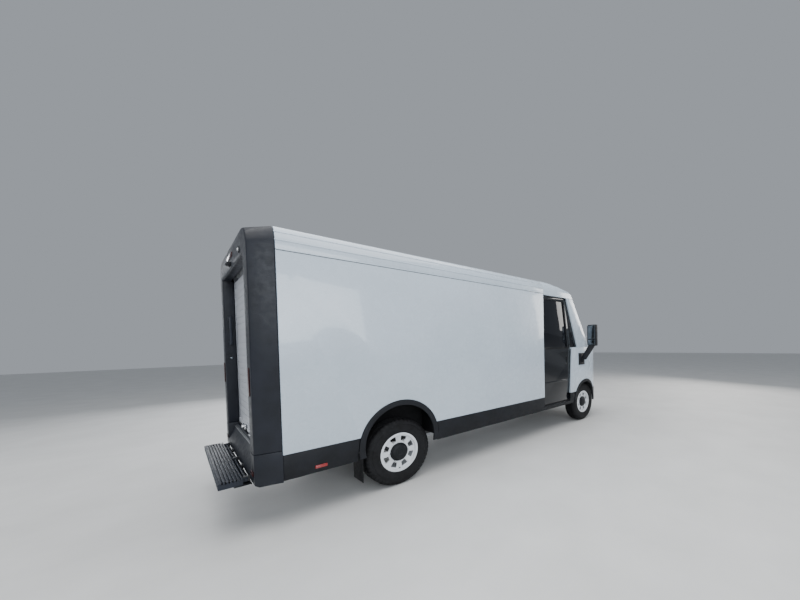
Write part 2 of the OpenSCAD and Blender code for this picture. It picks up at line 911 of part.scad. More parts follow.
// Pedal that hangs from a pivot below the dashboard
module pedal(x, w) {
  block([x - 8, pedal_y, 640], [x + 8, pedal_y + 16, 900]);
  block([x - w / 2, pedal_y + 12, 610], [x + w / 2, pedal_y + 24, 690]);
  x_rod(x - 12, x + 12, pedal_y + 8, 900, 14);
}

module brake_pedal() {
  color("dimgray") pedal(driver_x - 30, 90);
}

module accelerator_pedal() {
  color("dimgray") pedal(driver_x + 90, 55);
}

seat_y = cab_y - 130;
seat_z = 900;

// Driver's seat: cushion, back and head restraint
module driver_seat() {
  color("#26282c") {
    block([driver_x - 250, seat_y - 480, seat_z - 43.5], [driver_x + 250, seat_y + 20, seat_z + 90]);
    translate([0, seat_y - 40, seat_z + 60])
      rotate([-12, 0, 0])
        block([driver_x - 240, -40, 0], [driver_x + 240, 70, 620]);
    translate([0, seat_y - 40, seat_z + 60])
      rotate([-12, 0, 0])
        block([driver_x - 130, -30, 640], [driver_x + 130, 60, 820]);
    for (dx = [-60, 50])
      translate([0, seat_y - 40, seat_z + 60])
        rotate([-12, 0, 0])
          block([driver_x + dx, 5, 619], [driver_x + dx + 12, 20, 641]);
  }
}

// ---------- cab doors ----------

// Outline of the door in Y-Z
function door_outline(inset) = [
  [cab_y + overlap - inset, door_bottom + inset],
  [cab_y + overlap - inset, door_top - inset],
  [door_front_y + door_lean + inset, door_top - inset],
  [door_front_y + inset, belt_h],
  [door_front_y + 30 + inset, door_bottom + inset]
];

window_low = belt_h + 10;

function window_outline(inset) = [
  [cab_y - 10 - inset, window_low + inset],
  [cab_y - 10 - inset, door_top - 70 - inset],
  [door_front_y + door_lean + 60 + inset, door_top - 70 - inset],
  [door_front_y + 75 + inset, window_low + inset]
];

module door_shape() {
  difference() {
    side_plate(door_x - door_t, door_x, door_outline(0));
    side_plate(door_x - door_t - 1, door_x + 1, window_outline(0));
    side_plate(door_x - 8, door_x + 1, [
      [door_front_y + 90, 1190], [door_front_y + 90, 1330],
      [door_front_y + 130, 1330], [door_front_y + 130, 1190]
    ]);
  }
}

module door_glass_shape() {
  side_plate(door_x - door_t / 2 - 3, door_x - door_t / 2 + 3, window_outline(0.5));
}

module door_left() {
  color("#14161b") door_shape();
}

module door_right() {
  color("#14161b") mirror([1, 0, 0]) door_shape();
}

module door_glass_left() {
  color("#1c2026") door_glass_shape();
}

module door_glass_right() {
  color("#1c2026") mirror([1, 0, 0]) door_glass_shape();
}

// ---------- mirrors and wipers ----------

mirror_y = y_rear - 4995;
mirror_z = 1255;
mirror_pivot_x = half_w + 40;

module mirror_base_shape() {
  difference() {
    union() {
      block([half_w, mirror_y - 100, mirror_z - 115], [half_w + 18, mirror_y + 100, mirror_z + 115]);
      translate([mirror_pivot_x, mirror_y, mirror_z - 60]) cylinder(h = 40, r = 26);
      block([half_w + 17, mirror_y - 20, mirror_z - 60], [mirror_pivot_x, mirror_y + 20, mirror_z - 20]);
    }
    translate([mirror_pivot_x, mirror_y, mirror_z - 61]) cylinder(h = 42, r = 9 + run_gap);
  }
}

module mirror_bases() {
  color("#181b21") both_sides() mirror_base_shape();
}

// Arm and head on the left side: the arm rises forwards and outwards
module mirror_shape() {
  x = mirror_pivot_x;
  translate([x, mirror_y, mirror_z - 60]) cylinder(h = 100, r = 9);
  translate([x, mirror_y, mirror_z - 20 + 0.3]) cylinder(h = 46, r = 20);
  hull() {
    block([x - 13, mirror_y - 13, mirror_z - 12], [x + 70, mirror_y + 13, mirror_z + 50]);
    block([x + 60, mirror_y - 175, mirror_z + 240], [x + 165, mirror_y - 130, mirror_z + 280]);
  }
  hull() {
    block([x + 30, mirror_y - 190, mirror_z + 285], [x + 225, mirror_y - 120, mirror_z + 645]);
    block([x + 50, mirror_y - 215, mirror_z + 255], [x + 205, mirror_y - 130, mirror_z + 675]);
  }
}

module mirror_left() {
  color("#181b21") mirror_shape();
}

module mirror_right() {
  color("#181b21") mirror([1, 0, 0]) mirror_shape();
}

wiper_z = -1190;

// Wiper: pivot, arm and blade lying along the foot of the windshield
module wiper(x) {
  glass_frame()
    translate([x, -glass_bow - 34, wiper_z]) {
      rotate([-90, 0, 0]) cylinder(h = 20, r = 16);
      block([-10, -8, 0], [400, 4, 22]);
      block([380, -8, 10], [400, 14, 34]);
      block([120, 2, 24], [640, 14, 36]);
    }
}

module wiper_right() {
  color("black") wiper(-640);
}

module wiper_left() {
  color("black") wiper(20);
}

// ---------- wheels ----------

// Everything on a wheel is drawn round +Z and then turned, outer side towards +X
module on_axle(side, y) {
  translate([side * wheel_x, y, tyre_r]) rotate([0, side * 90, 0]) children();
}

module tyre() {
  w = tyre_w / 2;
  color("#17181a")
    rotate_extrude($fn = 96)
      polygon([
        [rim_r + 0.3, -w + 18], [rim_r + 13.3, -w + 18], [rim_r + 13.3, -w + 9],
        [rim_r + 60, -w + 1], [rim_r + 100, -w],
        [tyre_r - 30, -w + 7], [tyre_r - 8, -w + 16], [tyre_r, -w + 32],
        [tyre_r, w - 32], [tyre_r - 8, w - 16], [tyre_r - 30, w - 7],
        [rim_r + 100, w], [rim_r + 60, w - 1],
        [rim_r + 13.3, w - 9], [rim_r + 13.3, w - 18], [rim_r + 0.3, w - 18]
      ]);
}

disc_z = 62;
disc_t = 12;

// Steel wheel with rounded trapezoid holes round a dished disc
module rim() {
  w = tyre_w / 2;
  color("whitesmoke")
    difference() {
      union() {
        rotate_extrude($fn = 96)
          polygon([
            [rim_r - 12, -w + 10], [rim_r + 13, -w + 10], [rim_r + 13, -w + 18], [rim_r, -w + 18],
            [rim_r, w - 18], [rim_r + 13, w - 18], [rim_r + 13, w - 10], [rim_r - 12, w - 10]
          ]);
        translate([0, 0, disc_z]) cylinder(h = disc_t, r = rim_r - 11);
        translate([0, 0, -10]) cylinder(h = disc_z + 10 + eps, r = 78);
      }
      translate([0, 0, -11]) cylinder(h = disc_z + 40, r = stub_r + run_gap);
      for (i = [0 : rim_holes - 1])
        rotate([0, 0, (i + 0.5) * 360 / rim_holes])
          translate([0, 0, disc_z - 1])
            linear_extrude(disc_t + 2)
              polygon([[122, -20], [132, -26], [172, -36], [178, -28],
                       [178, 28], [172, 36], [132, 26], [122, 20]]);
    }
}

module tyre_rear_right() { on_axle(-1, y_rear_axle) tyre(); }
module tyre_rear_left() { on_axle(1, y_rear_axle) tyre(); }
module tyre_front_right() { on_axle(-1, y_front_axle) tyre(); }
module tyre_front_left() { on_axle(1, y_front_axle) tyre(); }
module rim_rear_right() { on_axle(-1, y_rear_axle) rim(); }
module rim_rear_left() { on_axle(1, y_rear_axle) rim(); }
module rim_front_right() { on_axle(-1, y_front_axle) rim(); }
module rim_front_left() { on_axle(1, y_front_axle) rim(); }

// Steering knuckle: upright on the kingpin axis with the stub axle
module knuckle_shape() {
  color("dimgray") {
    block([kingpin_x - 20, y_front_axle - 40, tyre_r - 3], [kingpin_x + 24, y_front_axle + 40, tyre_r + 110]);
    translate([kingpin_x, y_front_axle, tyre_r - 100]) cylinder(h = 100, r = kingpin_r);
    x_rod(kingpin_x + 20, wheel_x + disc_z + disc_t, y_front_axle, tyre_r, stub_r);
  }
}

module knuckle_left() { knuckle_shape(); }
module knuckle_right() { mirror([1, 0, 0]) knuckle_shape(); }

chassis_rails();
battery_pack();
cargo_floor();
cab_floor();
wheel_housings();
wall_skin_right();
wall_skin_left();
wall_liners();
roof_panel();
roof_rails();
roof_front_cap();
bulkhead();
rear_posts();
rear_header();
rear_bumper();
side_skirts();
arch_trims();
fender_right();
fender_left();
front_fascia();
headlamps();
windshield();
quarter_windows();
a_pillars();
dashboard();
cowl();
tail_lamps();
shutter_tracks();
step_brackets();
rear_axle();
front_subframe();
mirror_bases();
shutter_curtain();
shutter_rail();
shutter_barrel();
door_right();
door_glass_right();
door_left();
door_glass_left();
bulkhead_door();
step_tread();
hood();
mirror_right();
mirror_left();
wiper_right();
wiper_left();
brake_pedal();
accelerator_pedal();
steering_wheel();
knuckle_right();
knuckle_left();
driver_seat();
tyre_rear_right();
rim_rear_right();
tyre_rear_left();
rim_rear_left();
tyre_front_right();
rim_front_right();
tyre_front_left();
rim_front_left();
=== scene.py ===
import math
import bpy
from mathutils import Euler, Matrix, Vector


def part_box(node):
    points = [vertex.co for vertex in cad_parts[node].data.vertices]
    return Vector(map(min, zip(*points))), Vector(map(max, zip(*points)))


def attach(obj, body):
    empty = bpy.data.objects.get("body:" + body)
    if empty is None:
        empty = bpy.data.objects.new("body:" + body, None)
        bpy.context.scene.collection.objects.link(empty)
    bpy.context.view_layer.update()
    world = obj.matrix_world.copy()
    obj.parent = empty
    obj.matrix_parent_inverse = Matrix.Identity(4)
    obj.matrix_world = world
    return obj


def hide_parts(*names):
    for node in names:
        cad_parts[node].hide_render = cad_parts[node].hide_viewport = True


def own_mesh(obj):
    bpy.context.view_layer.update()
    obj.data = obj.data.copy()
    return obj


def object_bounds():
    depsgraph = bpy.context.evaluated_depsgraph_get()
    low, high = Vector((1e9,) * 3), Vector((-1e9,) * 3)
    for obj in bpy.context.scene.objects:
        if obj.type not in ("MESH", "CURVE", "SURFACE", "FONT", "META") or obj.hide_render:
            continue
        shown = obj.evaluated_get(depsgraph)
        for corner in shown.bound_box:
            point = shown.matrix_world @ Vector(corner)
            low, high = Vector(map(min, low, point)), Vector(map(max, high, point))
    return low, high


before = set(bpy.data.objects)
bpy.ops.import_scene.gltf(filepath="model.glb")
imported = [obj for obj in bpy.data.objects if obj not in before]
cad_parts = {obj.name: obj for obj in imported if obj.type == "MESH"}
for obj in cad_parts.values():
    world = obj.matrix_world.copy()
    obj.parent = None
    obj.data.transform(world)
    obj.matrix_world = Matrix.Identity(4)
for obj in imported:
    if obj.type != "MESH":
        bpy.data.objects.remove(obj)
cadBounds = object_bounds()
print("frame loaded")


# ---- camera, light and floor ----

view = {
    "place": (-4.456, 3.337, 1.583),
    "heading": 221.76,      # turned about the vertical, degrees
    "tilt": 88.59,          # from straight down, degrees
    "roll": -1.08,
    "lens": 14.28,
    "shift": (-0.1601, 0.0639),
}


def addCamera():
    data = bpy.data.cameras.new("viewCamera")
    camera = bpy.data.objects.new("viewCamera", data)
    bpy.context.scene.collection.objects.link(camera)
    data.lens = view["lens"]
    data.sensor_width = 36
    data.shift_x, data.shift_y = view["shift"]
    turn = Euler((math.radians(view["tilt"]), 0, math.radians(view["heading"]))).to_matrix()
    turn = turn @ Matrix.Rotation(math.radians(view["roll"]), 3, "Z")
    camera.matrix_world = Matrix.Translation(view["place"]) @ turn.to_4x4()
    bpy.context.scene.camera = camera


studio = {
    "skyColour": (0.80, 0.86, 0.94),
    "skyStrength": 0.42,
    "lamps": [   # name, place, aimed at, width, height, watts, colour
        ("ceilingSoftbox", (-1.5, 1.5, 7.5), (0, 0.5, 0), 9, 9, 760, (1, 1, 1)),
        ("sideSoftbox", (-9.0, 3.5, 3.6), (-1, -0.5, 1.3), 7, 3.5, 400, (0.90, 0.95, 1)),
        ("rearSoftbox", (2.0, 9.5, 3.2), (0, 2.5, 1.3), 5, 3, 170, (0.95, 0.97, 1)),
        ("frontSoftbox", (-2.5, -9.5, 3.4), (0, -2.5, 1.2), 5, 3, 260, (1, 0.98, 0.95)),
        ("farSoftbox", (9.0, 0.0, 3.6), (1, 0, 1.3), 7, 3, 320, (0.95, 0.97, 1)),
    ],
}


def addStudio():
    world = bpy.data.worlds.new("studioSky")
    bpy.context.scene.world = world
    world.use_nodes = True
    sky = world.node_tree.nodes["Background"]
    sky.inputs["Color"].default_value = (*studio["skyColour"], 1)
    sky.inputs["Strength"].default_value = studio["skyStrength"]
    for name, place, aim, wide, high, watts, colour in studio["lamps"]:
        lamp = bpy.data.lights.new(name, "AREA")
        lamp.shape = "RECTANGLE"
        lamp.size, lamp.size_y = wide, high
        lamp.energy = watts
        lamp.color = colour
        holder = bpy.data.objects.new(name, lamp)
        bpy.context.scene.collection.objects.link(holder)
        holder.location = place
        holder.rotation_euler = (Vector(aim) - Vector(place)).to_track_quat("-Z", "Y").to_euler()


addCamera()
addStudio()
print("camera and light placed")


# ---- materials ----

finishes = {}


def newFinish(name, colour, roughness, metallic=0.0, **sockets):
    material = bpy.data.materials.new(name)
    material.use_nodes = True
    tree = material.node_tree
    shader = tree.nodes["Principled BSDF"]
    shader.inputs["Base Color"].default_value = (*colour, 1)
    shader.inputs["Roughness"].default_value = roughness
    shader.inputs["Metallic"].default_value = metallic
    for socket, value in sockets.items():
        shader.inputs[socket.replace("_", " ")].default_value = value
    finishes[name] = material
    return tree, shader


def objectCoords(tree, stretch=(1, 1, 1), turn=(0, 0, 0)):
    coords = tree.nodes.new("ShaderNodeTexCoord")
    mapping = tree.nodes.new("ShaderNodeMapping")
    mapping.inputs["Scale"].default_value = stretch
    mapping.inputs["Rotation"].default_value = turn
    tree.links.new(coords.outputs["Object"], mapping.inputs["Vector"])
    return mapping.outputs["Vector"]


def noise(tree, coords, scale, detail=4.0, rough=0.55):
    node = tree.nodes.new("ShaderNodeTexNoise")
    node.inputs["Scale"].default_value = scale
    node.inputs["Detail"].default_value = detail
    node.inputs["Roughness"].default_value = rough
    tree.links.new(coords, node.inputs["Vector"])
    return node.outputs["Fac"]


def ramp(tree, value, stops):
    node = tree.nodes.new("ShaderNodeValToRGB")
    while len(node.color_ramp.elements) < len(stops):
        node.color_ramp.elements.new(0.5)
    for element, (place, colour) in zip(node.color_ramp.elements, stops):
        element.position = place
        element.color = (*colour, 1)
    tree.links.new(value, node.inputs["Fac"])
    return node.outputs["Color"]


def varyColour(tree, shader, value, dark, light, low=0.35, high=0.65):
    tree.links.new(ramp(tree, value, [(low, dark), (high, light)]), shader.inputs["Base Color"])


def varyRoughness(tree, shader, value, low, high):
    node = tree.nodes.new("ShaderNodeMapRange")
    node.inputs["From Min"].default_value = 0.3
    node.inputs["From Max"].default_value = 0.7
    node.inputs["To Min"].default_value = low
    node.inputs["To Max"].default_value = high
    tree.links.new(value, node.inputs["Value"])
    tree.links.new(node.outputs["Result"], shader.inputs["Roughness"])


def bumpFrom(tree, shader, value, strength, distance):
    node = tree.nodes.new("ShaderNodeBump")
    node.inputs["Strength"].default_value = strength
    node.inputs["Distance"].default_value = distance
    tree.links.new(value, node.inputs["Height"])
    tree.links.new(node.outputs["Normal"], shader.inputs["Normal"])
    return node


def scaled(colour, k):
    return tuple(min(1.0, c * k) for c in colour)


def paintedFinish(name, colour, roughness, coat):
    tree, shader = newFinish(name, colour, roughness, Coat_Weight=coat, Coat_Roughness=0.06)
    coords = objectCoords(tree)
    cloudy = noise(tree, coords, 1.3, 3)
    varyColour(tree, shader, cloudy, scaled(colour, 0.96), scaled(colour, 1.02))
    varyRoughness(tree, shader, noise(tree, coords, 9, 3), roughness - 0.05, roughness + 0.06)
    bumpFrom(tree, shader, noise(tree, coords, 420, 2), 0.05, 0.0006)


def mouldedFinish(name, colour, roughness, grain, strength):
    tree, shader = newFinish(name, colour, roughness, Specular_IOR_Level=0.28)
    coords = objectCoords(tree)
    varyColour(tree, shader, noise(tree, coords, 5, 5), scaled(colour, 0.8), scaled(colour, 1.25))
    varyRoughness(tree, shader, noise(tree, coords, 22, 5), roughness - 0.08, roughness + 0.1)
    bumpFrom(tree, shader, noise(tree, coords, grain, 6, 0.7), strength, 0.0008)


def metalFinish(name, colour, roughness, stretch, metallic=1.0):
    tree, shader = newFinish(name, colour, roughness, metallic)
    coords = objectCoords(tree, stretch)
    brushed = noise(tree, coords, 30, 5, 0.7)
    varyColour(tree, shader, brushed, scaled(colour, 0.85), scaled(colour, 1.08))
    varyRoughness(tree, shader, brushed, roughness - 0.07, roughness + 0.1)
    bumpFrom(tree, shader, brushed, 0.12, 0.0003)


def glassFinish(name, colour, clear):
    tree, shader = newFinish(name, colour, 0.03, IOR=1.45, Transmission_Weight=clear)
    coords = objectCoords(tree)
    varyRoughness(tree, shader, noise(tree, coords, 3, 4), 0.015, 0.06)
    varyColour(tree, shader, noise(tree, coords, 0.8, 2), scaled(colour, 0.9), scaled(colour, 1.1))


def rubberFinish(name, colour, roughness):
    tree, shader = newFinish(name, colour, roughness, Specular_IOR_Level=0.25)
    coords = objectCoords(tree)
    dusty = noise(tree, coords, 12, 6, 0.65)
    varyColour(tree, shader, dusty, scaled(colour, 0.75), scaled(colour, 1.7))
    varyRoughness(tree, shader, noise(tree, coords, 40, 4), roughness - 0.1, roughness + 0.08)
    bumpFrom(tree, shader, noise(tree, coords, 260, 4), 0.25, 0.0006)


def clothFinish(name, colour):
    tree, shader = newFinish(name, colour, 0.9, Sheen_Weight=0.35, Sheen_Roughness=0.5)
    coords = objectCoords(tree)
    checks = tree.nodes.new("ShaderNodeTexVoronoi")
    checks.inputs["Scale"].default_value = 420
    tree.links.new(coords, checks.inputs["Vector"])
    varyColour(tree, shader, noise(tree, coords, 60, 5), scaled(colour, 0.7), scaled(colour, 1.4))
    bumpFrom(tree, shader, checks.outputs["Distance"], 0.5, 0.0012)


def lampFinish(name, colour, clear, coat=0.6):
    tree, shader = newFinish(name, colour, 0.08, IOR=1.5, Transmission_Weight=clear, Coat_Weight=coat,
                             Specular_IOR_Level=coat)
    coords = objectCoords(tree)
    flutes = tree.nodes.new("ShaderNodeTexWave")
    flutes.inputs["Scale"].default_value = 70
    flutes.bands_direction = "Z"
    tree.links.new(coords, flutes.inputs["Vector"])
    varyColour(tree, shader, flutes.outputs["Fac"], scaled(colour, 0.7), scaled(colour, 1.15), 0.1, 0.9)
    bumpFrom(tree, shader, flutes.outputs["Fac"], 0.4, 0.0015)


paintedFinish("whitePaint", (0.52, 0.60, 0.68), 0.26, 0.7)
paintedFinish("wheelEnamel", (0.72, 0.74, 0.77), 0.34, 0.3)
paintedFinish("chassisPaint", (0.030, 0.031, 0.034), 0.45, 0.1)
paintedFinish("glossBlack", (0.004, 0.005, 0.007), 0.10, 0.35)
paintedFinish("liningBoard", (0.56, 0.57, 0.59), 0.5, 0.0)
mouldedFinish("portalBlack", (0.011, 0.013, 0.019), 0.40, 700, 0.12)
mouldedFinish("trimBlack", (0.008, 0.009, 0.012), 0.55, 420, 0.35)
mouldedFinish("stepBlack", (0.016, 0.020, 0.030), 0.48, 500, 0.3)
mouldedFinish("cabPlastic", (0.045, 0.047, 0.052), 0.6, 600, 0.3)
# recessShadeBlack: near-black painted shade standing in for the shade inside holes, vents, grille and intake
# openings, and laid over the black wheel-arch liners
mouldedFinish("recessShadeBlack", (0.004, 0.004, 0.005), 0.7, 300, 0.2)
metalFinish("shutterSlats", (0.58, 0.60, 0.64), 0.38, (0.3, 6, 14), 0.35)
metalFinish("trackMetal", (0.46, 0.47, 0.50), 0.35, (8, 8, 0.3))
metalFinish("batteryAlloy", (0.40, 0.41, 0.43), 0.42, (1, 6, 8))
metalFinish("deckAlloy", (0.36, 0.37, 0.38), 0.45, (6, 0.4, 1))
metalFinish("brightSteel", (0.75, 0.76, 0.78), 0.18, (6, 6, 1))
glassFinish("darkGlass", (0.006, 0.007, 0.010), 0.1)
glassFinish("clearGlass", (0.50, 0.56, 0.56), 0.92)
metalFinish("mirrorFace", (0.16, 0.18, 0.20), 0.14, (1, 1, 1))
rubberFinish("tyreRubber", (0.007, 0.007, 0.008), 0.7)
rubberFinish("sealRubber", (0.006, 0.006, 0.007), 0.6)
clothFinish("seatCloth", (0.05, 0.053, 0.06))
lampFinish("redLens", (0.30, 0.010, 0.012), 0.0)
lampFinish("smokedLens", (0.035, 0.003, 0.004), 0.0, 0.15)
lampFinish("amberLens", (0.75, 0.26, 0.02), 0.0)
lampFinish("clearLens", (0.80, 0.83, 0.86), 0.55)
print("materials made")


# ---- modelling helpers ----

def focus(piece):
    bpy.ops.object.select_all(action="DESELECT")
    piece.select_set(True)
    bpy.context.view_layer.objects.active = piece


def settle(name):
    piece = bpy.context.active_object
    bpy.ops.object.transform_apply(location=True, rotation=True, scale=True)
    piece.name = name
    piece.data.name = name
    return piece


def roundEdges(piece, width, steps=3, angle=32):
    focus(piece)
    bevel = piece.modifiers.new("roundedEdges", "BEVEL")
    bevel.width = width
    bevel.segments = steps
    bevel.limit_method = "ANGLE"
    bevel.angle_limit = math.radians(angle)
    bevel.harden_normals = False
    bpy.ops.object.modifier_apply(modifier=bevel.name)
    bpy.ops.object.shade_smooth_by_angle(angle=math.radians(38))
    return piece


def block(name, low, high, edge=0.004, steps=2):
    low, high = Vector(low), Vector(high)
    bpy.ops.object.select_all(action="DESELECT")
    bpy.ops.mesh.primitive_cube_add(size=1, location=(low + high) / 2)
    bpy.context.active_object.scale = high - low
    piece = settle(name)
    return roundEdges(piece, edge, steps)


def drum(name, start, end, radius, edge=0.003, sides=32):
    start, end = Vector(start), Vector(end)
    bpy.ops.object.select_all(action="DESELECT")
    turn = (end - start).to_track_quat("Z", "Y").to_euler()
    bpy.ops.mesh.primitive_cylinder_add(vertices=sides, radius=radius, depth=(end - start).length,
                                        location=(start + end) / 2, rotation=turn)
    return roundEdges(settle(name), edge, 2, 50)


def bareCopy(node, name):
    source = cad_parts[node]
    piece = bpy.data.objects.new(name, source.data.copy())
    piece.data.name = name
    bpy.context.scene.collection.objects.link(piece)
    piece.data.materials.clear()
    focus(piece)
    bpy.ops.mesh.customdata_custom_splitnormals_clear()
    bpy.ops.object.mode_set(mode="EDIT")
    bpy.ops.mesh.select_all(action="SELECT")
    bpy.ops.mesh.remove_doubles(threshold=0.00002)
    bpy.ops.mesh.dissolve_limited(angle_limit=math.radians(0.5))
    bpy.ops.object.mode_set(mode="OBJECT")
    return piece


def roundedCopy(node, name, width, steps=3, angle=32):
    return roundEdges(bareCopy(node, name), width, steps, angle)


def fusedCopy(nodes, name, width, steps, angle):
    whole = bareCopy(nodes[0], name)
    for node in nodes[1:]:
        part = bareCopy(node, name + "Part")
        focus(whole)
        union = whole.modifiers.new("union", "BOOLEAN")
        union.operation = "UNION"
        union.solver = "EXACT"
        union.object = part
        bpy.ops.object.modifier_apply(modifier=union.name)
        bpy.data.objects.remove(part)
    focus(whole)
    bpy.ops.object.mode_set(mode="EDIT")
    bpy.ops.mesh.select_all(action="SELECT")
    bpy.ops.mesh.remove_doubles(threshold=0.0001)
    bpy.ops.mesh.dissolve_limited(angle_limit=math.radians(0.6))
    bpy.ops.object.mode_set(mode="OBJECT")
    return roundEdges(whole, width, steps, angle)


def dress(piece, finish):
    piece.data.materials.clear()
    piece.data.materials.append(finishes[finish])
    return piece


def mount(piece, body, finish, replaces=()):
    dress(piece, finish)
    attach(piece, body)
    if replaces:
        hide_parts(*replaces)
    return piece


def joined(name, pieces):
    bpy.ops.object.select_all(action="DESELECT")
    for piece in pieces:
        piece.select_set(True)
    bpy.context.view_layer.objects.active = pieces[0]
    bpy.ops.object.join()
    pieces[0].name = name
    pieces[0].data.name = name
    return pieces[0]


def bothSides(name, make, body, finish):
    right = make(name + "Right")
    left = mirrored(right, name + "Left")
    mount(right, body, finish)
    mount(left, body, finish)


def mirrored(piece, name):
    twin = bpy.data.objects.new(name, piece.data.copy())
    twin.data.name = name
    bpy.context.scene.collection.objects.link(twin)
    focus(twin)
    bpy.ops.object.mode_set(mode="EDIT")
    bpy.ops.mesh.select_all(action="SELECT")
    bpy.ops.transform.mirror(constraint_axis=(True, False, False), center_override=(0, 0, 0))
    bpy.ops.mesh.normals_make_consistent(inside=False)
    bpy.ops.object.mode_set(mode="OBJECT")
    return twin


def lathe(name, centre, outline, sides=96, closed=True):
    x0, y0, z0 = centre
    startX, startR = outline[0]
    bpy.ops.object.select_all(action="DESELECT")
    bpy.ops.mesh.primitive_circle_add(vertices=sides, radius=startR,
                                      location=(x0 + startX, y0, z0), rotation=(0, math.pi / 2, 0))
    piece = settle(name)
    bpy.ops.object.mode_set(mode="EDIT")
    bpy.ops.mesh.select_all(action="SELECT")
    lastX, lastR = startX, startR
    for x, r in outline[1:]:
        bpy.ops.mesh.extrude_edges_move(TRANSFORM_OT_translate={"value": (x - lastX, 0, 0)})
        bpy.ops.transform.resize(value=(1, r / lastR, r / lastR), center_override=(x0 + x, y0, z0))
        lastX, lastR = x, r
    bpy.ops.mesh.select_all(action="DESELECT")
    bpy.ops.mesh.select_non_manifold()
    if closed:
        bpy.ops.mesh.bridge_edge_loops()
    else:
        bpy.ops.mesh.fill_holes(sides=0)
    bpy.ops.mesh.select_all(action="SELECT")
    bpy.ops.mesh.normals_make_consistent(inside=False)
    bpy.ops.object.mode_set(mode="OBJECT")
    bpy.ops.object.shade_smooth_by_angle(angle=math.radians(35))
    return piece


print("helpers ready")

# ---- places read from the frame ----

wallLow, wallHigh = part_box("wall_skin_right")
postLow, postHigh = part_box("rear_posts")
capLow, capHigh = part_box("roof_front_cap")
sideX = -wallLow.x                 # outer face of a side wall
rearY = postHigh.y                 # rear face of the portal
portalY = postLow.y                # where the portal meets the side walls
gutterZ = wallHigh.z
roofZ = cadBounds[1][2]
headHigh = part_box("rear_header")[1]
curtainLow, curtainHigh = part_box("shutter_curtain")
shutterLow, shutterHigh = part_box("shutter_rail")
doorLow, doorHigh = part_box("door_right")
bumperLow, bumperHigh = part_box("rear_bumper")
stepLow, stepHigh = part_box("step_tread")
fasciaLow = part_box("front_fascia")[0]
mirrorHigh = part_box("mirror_left")[1]
seatLow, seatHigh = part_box("driver_seat")
dashLow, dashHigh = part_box("dashboard")
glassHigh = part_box("door_glass_right")[1]
rearWheelLow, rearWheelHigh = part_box("tyre_rear_left")
openX = headHigh.x - 0.22          # inner face of a jamb
noseY = fasciaLow.y


# ---- floor ----

def addFloor():
    bpy.ops.object.select_all(action="DESELECT")
    bpy.ops.mesh.primitive_plane_add(size=80, location=(0, 0, 0))
    floor = settle("studioFloor")
    tree, shader = newFinish("studioFloorPaint", (0.62, 0.62, 0.61), 0.6)
    coords = objectCoords(tree)
    varyColour(tree, shader, noise(tree, coords, 1.5, 5), (0.60, 0.60, 0.59), (0.65, 0.65, 0.64))
    dress(floor, "studioFloorPaint")


addFloor()


# ---- box body ----

def makeBoxBody():
    plain = [   # node, piece, edge rounding, finish, slot
        ("wall_skin_right", "sidePanelRight", 0.006, "whitePaint", "white_paint"),
        ("wall_skin_left", "sidePanelLeft", 0.006, "whitePaint", "white_paint"),
        ("roof_panel", "roofPanel", 0.002, "whitePaint", "white_paint"),
        ("roof_rails", "roofEdges", 0.003, "whitePaint", "white_paint"),
        ("roof_front_cap", "roofCap", 0.004, "whitePaint", "white_paint"),
        ("wall_liners", "innerLinings", 0.003, "liningBoard", "lining_grey"),
        ("bulkhead", "bulkheadWall", 0.005, "liningBoard", "lining_grey"),
        # wheel housings: black liner colour darkened with painted shade of the arches
        ("wheel_housings", "wheelHousings", 0.008, "recessShadeBlack", "trim_black"),
    ]
    for node, name, width, finish, slot in plain:
        mount(roundedCopy(node, name, width), "body", finish, [node])


seams = {"stripHigh": 0.010, "stripOut": 0.004, "ribCount": 5, "ribWide": 0.05, "ribHigh": 0.007}


roofBead = {"arcWide": 0.103, "arcRise": 0.029}


def makeSeams():
    for side, word in ((-1, "Right"), (1, "Left")):
        x0, x1 = sorted((side * (sideX - 0.006), side * (sideX + seams["stripOut"])))
        gutter = block("gutterStrip" + word, (x0, wallLow.y - 0.01, gutterZ - seams["stripHigh"] / 2),
                       (x1, portalY - 0.002, gutterZ + seams["stripHigh"] / 2), 0.003)
        mount(gutter, "body", "whitePaint")
        # a dark strip under the gutter strip paints the shadow line it casts
        g0, g1 = sorted((side * (sideX - 0.006), side * (sideX + 0.001)))
        shadeLine = block("gutterShadowLine" + word, (g0, wallLow.y + 0.004, gutterZ - seams["stripHigh"] / 2 - 0.005),
                       (g1, portalY - 0.004, gutterZ - seams["stripHigh"] / 2), 0.001)
        mount(shadeLine, "body", "sealRubber")
    arcX, arcZ = capHigh.x - roofBead["arcWide"], gutterZ + roofBead["arcRise"]
    for lift in (16, 42):
        a = math.radians(lift)
        x = -(arcX + roofBead["arcWide"] * math.cos(a))
        z = arcZ + (roofZ - arcZ) * math.sin(a)
        bothSides("roofBead%d" % lift, lambda name: drum(
            name, (x, wallLow.y - 0.006, z), (x, portalY + 0.004, z), 0.005, 0.001, 16),
            "body", "whitePaint")
    for i in range(seams["ribCount"]):
        x = (i - (seams["ribCount"] - 1) / 2) * 0.36
        rib = block("roofRib%d" % (i + 1), (x - seams["ribWide"] / 2, wallLow.y + 0.25, roofZ - 0.01),
                    (x + seams["ribWide"] / 2, portalY - 0.12, roofZ + seams["ribHigh"]), 0.007, 3)
        mount(rib, "body", "whitePaint")


makeBoxBody()
makeSeams()
print("box body made")


# ---- rear portal ----

def makePortal():
    frameShell = fusedCopy(["rear_header", "rear_posts"], "portalFrame", 0.016, 4, 25)
    mount(frameShell, "body", "portalBlack", ["rear_header", "rear_posts"])
    mount(roundedCopy("rear_bumper", "rearBumper", 0.010, 3, 25), "body", "portalBlack",
          ["rear_bumper"])


makePortal()


portalBits = {"spotX": -0.64, "spotZ": 2.47, "stopZ": 2.53, "gripZ": (1.632, 1.971), "gripR": 0.013,
              "markerY": 2.438, "markerZ": 0.470}


